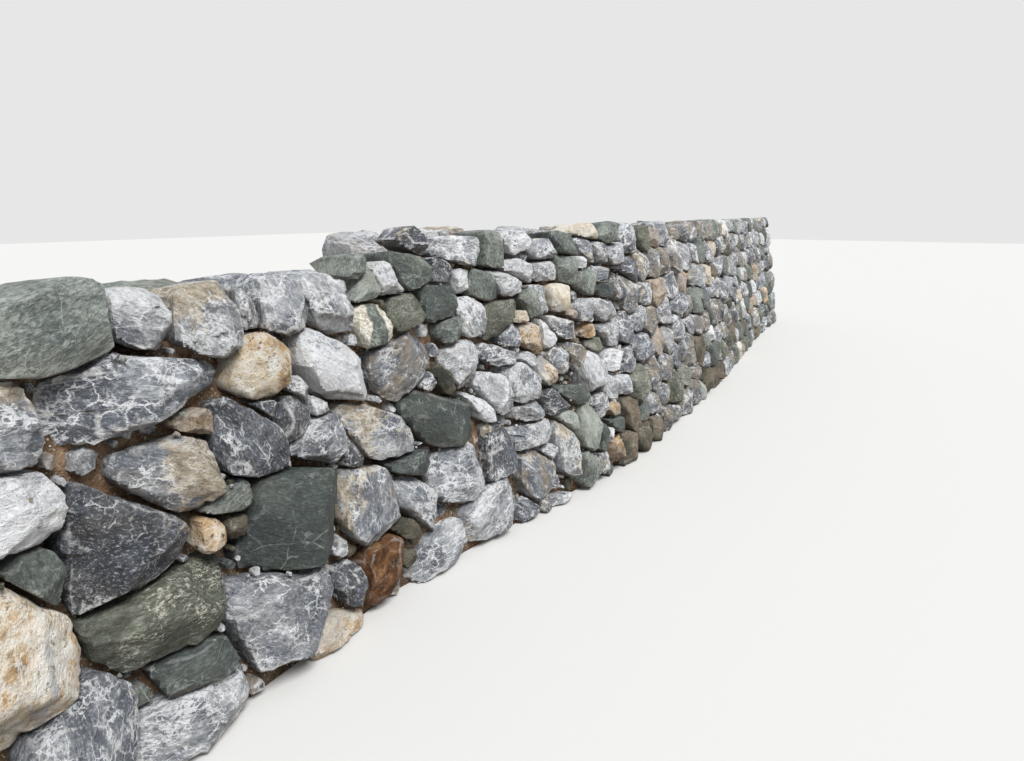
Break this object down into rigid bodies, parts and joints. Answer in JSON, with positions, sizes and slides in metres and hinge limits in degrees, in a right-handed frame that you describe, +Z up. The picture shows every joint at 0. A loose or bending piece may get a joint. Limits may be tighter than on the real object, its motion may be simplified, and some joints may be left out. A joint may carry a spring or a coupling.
{
  "type": "dry-laid boulder retaining wall",
  "caption": "Straight run of dry-laid boulder retaining wall with a leaning stone face, rubble hearting and a rough coping.",
  "frame": {"origin": "middle of the wall's footprint at ground level", "axes": "+X along the wall, from its low near end to its far end; +Y from the stone face towards the bank that it holds; +Z up"},
  "size_m": [16.2, 1.8434, 2.415],
  "materials": {
    "face_stone": "rough",
    "backing_stone": "rough",
    "rubble_fill": "rough"
  },
  "bodies": {
    "root": {"base_course_1": "face_stone", "base_course_2": "face_stone", "base_course_3": "face_stone", "base_course_4": "face_stone", "base_course_5": "face_stone", "base_course_6": "face_stone", "lower_course_1": "face_stone", "lower_course_2": "face_stone", "lower_course_3": "face_stone", "lower_course_4": "face_stone", "lower_course_5": "face_stone", "lower_course_6": "face_stone", "upper_course_1": "face_stone", "upper_course_2": "face_stone", "upper_course_3": "face_stone", "upper_course_4": "face_stone", "upper_course_5": "face_stone", "upper_course_6": "face_stone", "coping_1": "face_stone", "coping_2": "face_stone", "coping_3": "face_stone", "coping_4": "face_stone", "coping_5": "face_stone", "coping_6": "face_stone", "backing_1": "backing_stone", "backing_2": "backing_stone", "backing_3": "backing_stone", "backing_4": "backing_stone", "backing_5": "backing_stone", "backing_6": "backing_stone", "hearting_1": "rubble_fill", "hearting_2": "rubble_fill", "hearting_3": "rubble_fill", "hearting_4": "rubble_fill", "hearting_5": "rubble_fill", "hearting_6": "rubble_fill", "chinking_1": "face_stone", "chinking_2": "face_stone", "chinking_3": "face_stone", "chinking_4": "face_stone", "chinking_5": "face_stone", "chinking_6": "face_stone", "near_end": "backing_stone", "far_end": "backing_stone"}
  },
  "joints": []
}
